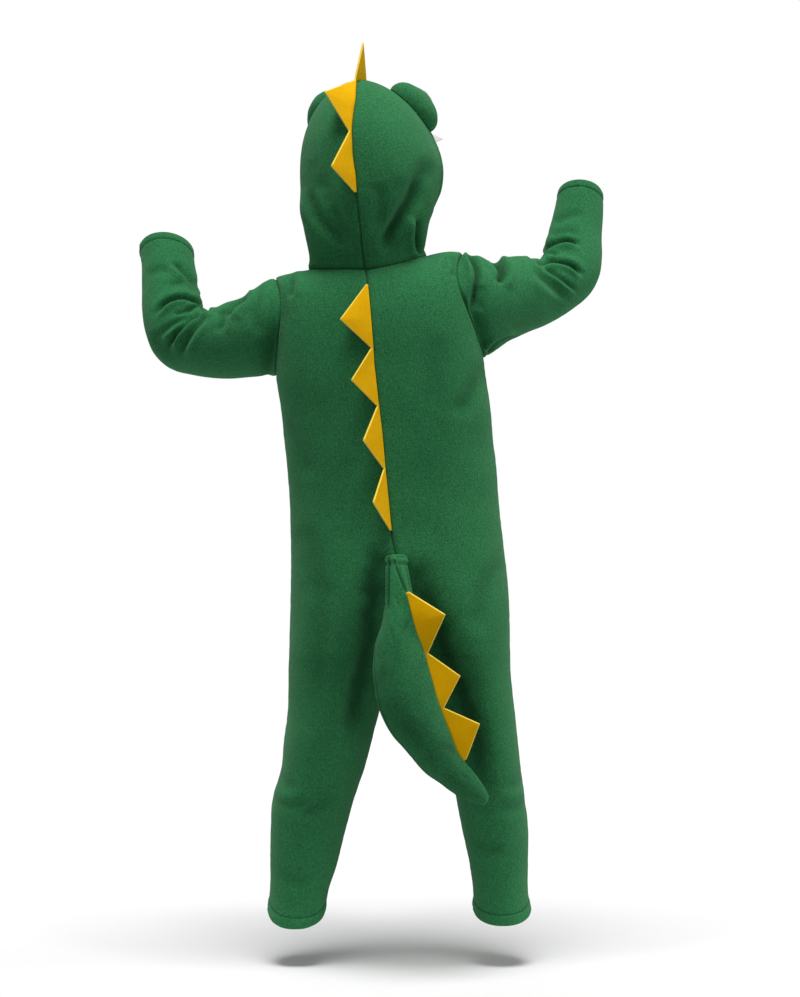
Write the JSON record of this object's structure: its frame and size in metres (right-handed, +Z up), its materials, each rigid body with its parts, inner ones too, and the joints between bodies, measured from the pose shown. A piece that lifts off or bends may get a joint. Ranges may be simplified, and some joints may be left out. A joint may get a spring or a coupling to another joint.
{
  "type": "child's hooded dragon costume",
  "caption": "Hooded one-piece fleece costume with raised sleeves, open face, cuffs and hems, a felt spike crest down the back, padded eyes and a stuffed tail.",
  "frame": {"origin": "middle of the neck base, where the wearer's shoulders carry the costume", "axes": "+Z up, the wearer faces -Y, the wearer's left is +X"},
  "size_m": [0.643, 0.3704, 1.1653],
  "materials": {
    "fleece": "matt green polyester fleece with a fine mottled nap and a pale sheen at grazing angles",
    "spike_felt": "dense yellow felt with pale cut edges",
    "white_felt": "off-white felt",
    "black_felt": "black felt"
  },
  "bodies": {
    "root": {"back_left": "fleece", "back_right": "fleece", "front_left": "fleece", "front_right": "fleece", "front_placket": "fleece", "sleeve_left": "fleece", "sleeve_right": "fleece", "hood_left": "fleece", "hood_right": "fleece", "hood_band": "fleece", "hood_crest": "spike_felt", "back_crest": "spike_felt", "tail_crest": "spike_felt", "tail_left": "fleece", "tail_right": "fleece", "tail_under": "fleece", "eye_pad_left": "fleece", "eye_pad_right": "fleece", "eye_white_left": "white_felt", "eye_white_right": "white_felt", "eye_pupil_left": "black_felt", "eye_pupil_right": "black_felt", "teeth": "white_felt"}
  },
  "joints": []
}
